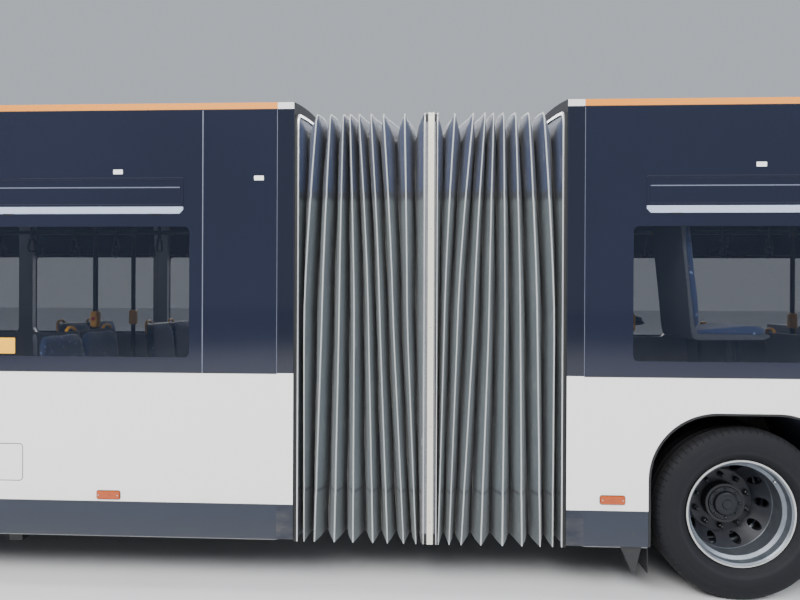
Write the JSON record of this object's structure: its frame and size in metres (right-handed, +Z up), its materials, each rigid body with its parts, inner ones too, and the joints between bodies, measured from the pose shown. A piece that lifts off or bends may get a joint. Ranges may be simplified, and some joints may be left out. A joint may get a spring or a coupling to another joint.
{
  "type": "articulated bus",
  "caption": "Low-floor articulated city bus: front section, turntable with folding bellows, rear section, twin wheels and inward-swinging doors.",
  "frame": {"origin": "on the road under the middle of the bus's length and width", "axes": "+X forward, +Y to the bus's left, +Z up"},
  "size_m": [17.997, 2.99, 3.0899],
  "materials": {
    "white_paint": "gloss white coach paint",
    "slate_paint": "satin slate paint",
    "roof_paint": "white roof with a yellow edge",
    "floor_lining": "speckled vinyl floor",
    "frame_steel": "black chassis coating",
    "glass": "dark tinted glass",
    "lamp": "coloured lens",
    "black_plastic": "grained black plastic",
    "dash_plastic": "dark moulded plastic",
    "seat_fabric": "woven seat cloth",
    "rail_metal": "dark powder coat",
    "bellows_fabric": "grey coated bellows cloth",
    "aluminium": "anodised frame",
    "rim_metal": "silver painted rim",
    "tyre": "black tread rubber",
    "engine_metal": "grey engine paint"
  },
  "bodies": {
    "front_section": {"front_floor": "floor_lining", "front_left_wall": "white_paint", "front_right_wall": "white_paint", "front_roof": "roof_paint", "front_end": "white_paint", "front_glazing": "glass", "front_skirts": "slate_paint", "front_lamps": "lamp", "mirrors": "black_plastic", "wipers": "black_plastic", "driver_station": "dash_plastic", "front_seats": "seat_fabric", "front_handrails": "rail_metal", "front_roof_unit": "white_paint", "front_axles": "frame_steel", "front_portal": "white_paint", "bellows_front": "bellows_fabric"},
    "middle": {"middle_frame": "aluminium"},
    "rear_section": {"rear_floor": "floor_lining", "rear_left_wall": "white_paint", "rear_right_wall": "white_paint", "rear_roof": "roof_paint", "rear_end": "white_paint", "rear_glazing": "glass", "rear_skirts": "slate_paint", "rear_lamps": "lamp", "rear_seats": "seat_fabric", "rear_handrails": "rail_metal", "rear_roof_unit": "white_paint", "rear_axle": "frame_steel", "rear_portal": "white_paint", "bellows_rear": "bellows_fabric", "engine": "engine_metal"},
    "hatch": {"engine_hatch": "white_paint"},
    "knuckle_left": {"knuckle_left": "frame_steel"},
    "knuckle_right": {"knuckle_right": "frame_steel"},
    "wheel_1_left": {"wheel_1_left_rim": "rim_metal", "wheel_1_left_tyre": "tyre"},
    "wheel_1_right": {"wheel_1_right_rim": "rim_metal", "wheel_1_right_tyre": "tyre"},
    "wheel_2_left": {"wheel_2_left_rims": "rim_metal", "wheel_2_left_tyres": "tyre"},
    "wheel_2_right": {"wheel_2_right_rims": "rim_metal", "wheel_2_right_tyres": "tyre"},
    "wheel_3_left": {"wheel_3_left_rims": "rim_metal", "wheel_3_left_tyres": "tyre"},
    "wheel_3_right": {"wheel_3_right_rims": "rim_metal", "wheel_3_right_tyres": "tyre"},
    "door_1_rear_arm": {"door_1_rear_arm": "frame_steel"},
    "door_1_rear_leaf": {"door_1_rear_leaf": "aluminium"},
    "door_1_front_arm": {"door_1_front_arm": "frame_steel"},
    "door_1_front_leaf": {"door_1_front_leaf": "aluminium"},
    "door_2_rear_arm": {"door_2_rear_arm": "frame_steel"},
    "door_2_rear_leaf": {"door_2_rear_leaf": "aluminium"},
    "door_2_front_arm": {"door_2_front_arm": "frame_steel"},
    "door_2_front_leaf": {"door_2_front_leaf": "aluminium"},
    "door_3_rear_arm": {"door_3_rear_arm": "frame_steel"},
    "door_3_rear_leaf": {"door_3_rear_leaf": "aluminium"},
    "door_3_front_arm": {"door_3_front_arm": "frame_steel"},
    "door_3_front_leaf": {"door_3_front_leaf": "aluminium"}
  },
  "joints": [
    {"name": "middle_turn", "type": "hinge", "parent": "front_section", "child": "middle", "pos_m": [-0.55, 0, 0.3], "axis": [0, 0, 1], "range_deg": [-23.5, 23.5], "deforming": ["bellows_front"]},
    {"name": "articulation", "type": "hinge", "parent": "front_section", "child": "rear_section", "pos_m": [-0.55, 0, 0.3], "axis": [0, 0, 1], "range_deg": [-47, 47], "deforming": ["bellows_rear"]},
    {"name": "steer_left", "type": "hinge", "parent": "front_section", "child": "knuckle_left", "pos_m": [6.285, 0.94, 0.4785], "axis": [0, 0, 1], "range_deg": [-45, 45]},
    {"name": "steer_right", "type": "hinge", "parent": "front_section", "child": "knuckle_right", "pos_m": [6.285, -0.94, 0.4785], "axis": [0, 0, 1], "range_deg": [-45, 45]},
    {"name": "wheel_1_left_spin", "type": "hinge", "parent": "knuckle_left", "child": "wheel_1_left", "pos_m": [6.285, 1.055, 0.4785], "axis": [0, 1, 0], "continuous": true},
    {"name": "wheel_1_right_spin", "type": "hinge", "parent": "knuckle_right", "child": "wheel_1_right", "pos_m": [6.285, -1.055, 0.4785], "axis": [0, 1, 0], "continuous": true},
    {"name": "wheel_2_left_spin", "type": "hinge", "parent": "front_section", "child": "wheel_2_left", "pos_m": [1.18, 1.1, 0.4785], "axis": [0, 1, 0], "continuous": true},
    {"name": "wheel_2_right_spin", "type": "hinge", "parent": "front_section", "child": "wheel_2_right", "pos_m": [1.18, -1.1, 0.4785], "axis": [0, 1, 0], "continuous": true},
    {"name": "wheel_3_left_spin", "type": "hinge", "parent": "rear_section", "child": "wheel_3_left", "pos_m": [-5.58, 1.1, 0.4785], "axis": [0, 1, 0], "continuous": true},
    {"name": "wheel_3_right_spin", "type": "hinge", "parent": "rear_section", "child": "wheel_3_right", "pos_m": [-5.58, -1.1, 0.4785], "axis": [0, 1, 0], "continuous": true},
    {"name": "door_1_rear_arm_turn", "type": "hinge", "parent": "front_section", "child": "door_1_rear_arm", "pos_m": [7.095, -1.19, 1.4], "axis": [0, 0, 1], "range_deg": [0, 82]},
    {"name": "door_1_rear_leaf_turn", "type": "hinge", "parent": "door_1_rear_arm", "child": "door_1_rear_leaf", "pos_m": [7.4175, -1.20126, 1.4], "axis": [0, 0, 1], "range_deg": [-164, 0]},
    {"name": "door_1_front_arm_turn", "type": "hinge", "parent": "front_section", "child": "door_1_front_arm", "pos_m": [8.405, -1.19, 1.4], "axis": [0, 0, 1], "range_deg": [-82, 0]},
    {"name": "door_1_front_leaf_turn", "type": "hinge", "parent": "door_1_front_arm", "child": "door_1_front_leaf", "pos_m": [8.0825, -1.20126, 1.4], "axis": [0, 0, 1], "range_deg": [0, 164]},
    {"name": "door_2_rear_arm_turn", "type": "hinge", "parent": "front_section", "child": "door_2_rear_arm", "pos_m": [3.077, -1.19, 1.4], "axis": [0, 0, 1], "range_deg": [0, 82]},
    {"name": "door_2_rear_leaf_turn", "type": "hinge", "parent": "door_2_rear_arm", "child": "door_2_rear_leaf", "pos_m": [3.3995, -1.20126, 1.4], "axis": [0, 0, 1], "range_deg": [-164, 0]},
    {"name": "door_2_front_arm_turn", "type": "hinge", "parent": "front_section", "child": "door_2_front_arm", "pos_m": [4.387, -1.19, 1.4], "axis": [0, 0, 1], "range_deg": [-82, 0]},
    {"name": "door_2_front_leaf_turn", "type": "hinge", "parent": "door_2_front_arm", "child": "door_2_front_leaf", "pos_m": [4.0645, -1.20126, 1.4], "axis": [0, 0, 1], "range_deg": [0, 164]},
    {"name": "door_3_rear_arm_turn", "type": "hinge", "parent": "rear_section", "child": "door_3_rear_arm", "pos_m": [-4.505, -1.19, 1.4], "axis": [0, 0, 1], "range_deg": [0, 82]},
    {"name": "door_3_rear_leaf_turn", "type": "hinge", "parent": "door_3_rear_arm", "child": "door_3_rear_leaf", "pos_m": [-4.1825, -1.20126, 1.4], "axis": [0, 0, 1], "range_deg": [-164, 0]},
    {"name": "door_3_front_arm_turn", "type": "hinge", "parent": "rear_section", "child": "door_3_front_arm", "pos_m": [-3.195, -1.19, 1.4], "axis": [0, 0, 1], "range_deg": [-82, 0]},
    {"name": "door_3_front_leaf_turn", "type": "hinge", "parent": "door_3_front_arm", "child": "door_3_front_leaf", "pos_m": [-3.5175, -1.20126, 1.4], "axis": [0, 0, 1], "range_deg": [0, 164]},
    {"name": "hatch_lift", "type": "hinge", "parent": "rear_section", "child": "hatch", "pos_m": [-8.977, 0, 1.128], "axis": [0, 1, 0], "range_deg": [0, 75]}
  ],
  "couplings": [
    {"joint": "middle_turn", "follows": "articulation", "ratio": 0.5},
    {"joint": "steer_right", "follows": "steer_left", "ratio": 1},
    {"joint": "door_1_rear_leaf_turn", "follows": "door_1_rear_arm_turn", "ratio": -2},
    {"joint": "door_1_front_arm_turn", "follows": "door_1_rear_arm_turn", "ratio": -1},
    {"joint": "door_1_front_leaf_turn", "follows": "door_1_rear_arm_turn", "ratio": 2},
    {"joint": "door_2_rear_leaf_turn", "follows": "door_2_rear_arm_turn", "ratio": -2},
    {"joint": "door_2_front_arm_turn", "follows": "door_2_rear_arm_turn", "ratio": -1},
    {"joint": "door_2_front_leaf_turn", "follows": "door_2_rear_arm_turn", "ratio": 2},
    {"joint": "door_3_rear_leaf_turn", "follows": "door_3_rear_arm_turn", "ratio": -2},
    {"joint": "door_3_front_arm_turn", "follows": "door_3_rear_arm_turn", "ratio": -1},
    {"joint": "door_3_front_leaf_turn", "follows": "door_3_rear_arm_turn", "ratio": 2}
  ]
}
